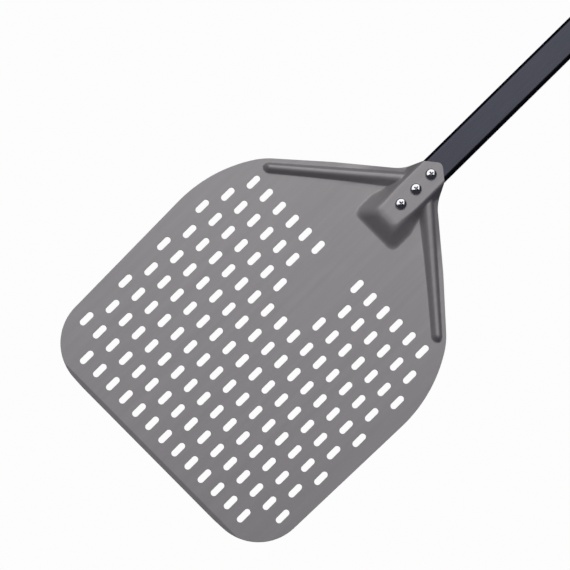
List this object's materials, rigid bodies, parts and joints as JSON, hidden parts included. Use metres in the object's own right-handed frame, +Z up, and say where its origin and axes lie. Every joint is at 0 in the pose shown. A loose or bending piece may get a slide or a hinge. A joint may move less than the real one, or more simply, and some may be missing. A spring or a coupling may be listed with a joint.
{
  "type": "pizza peel",
  "caption": "Perforated metal pizza peel: a thin pressed blade whose slots let loose flour fall, screwed to a straight tubular handle with a moulded grip and a hanging eye.",
  "frame": {"origin": "middle of the blade, on the plane of its underside", "axes": "+X along the handle towards its end, +Y to the handle's left as seen from above, +Z up from the blade's face"},
  "size_m": [0.9864, 0.3302, 0.0239],
  "materials": {
    "blade_sheet": "hard anodised grey with a fine brushed grain, satin",
    "handle_anodised": "black anodised, satin",
    "insert_aluminium": "as sawn and tapped",
    "bright_screws": "bright plated",
    "black_nylon": "moulded, fine spark-eroded texture",
    "grip_polymer": "moulded, ribbed, soft satin"
  },
  "bodies": {
    "root": {"blade": "blade_sheet", "handle_tube": "handle_anodised", "neck_insert": "insert_aluminium", "mouth_plug": "black_nylon", "neck_screw_1": "bright_screws", "neck_screw_2": "bright_screws", "neck_screw_3": "bright_screws", "grip_sleeve": "grip_polymer", "end_cap": "black_nylon", "end_screw": "bright_screws"}
  },
  "joints": []
}
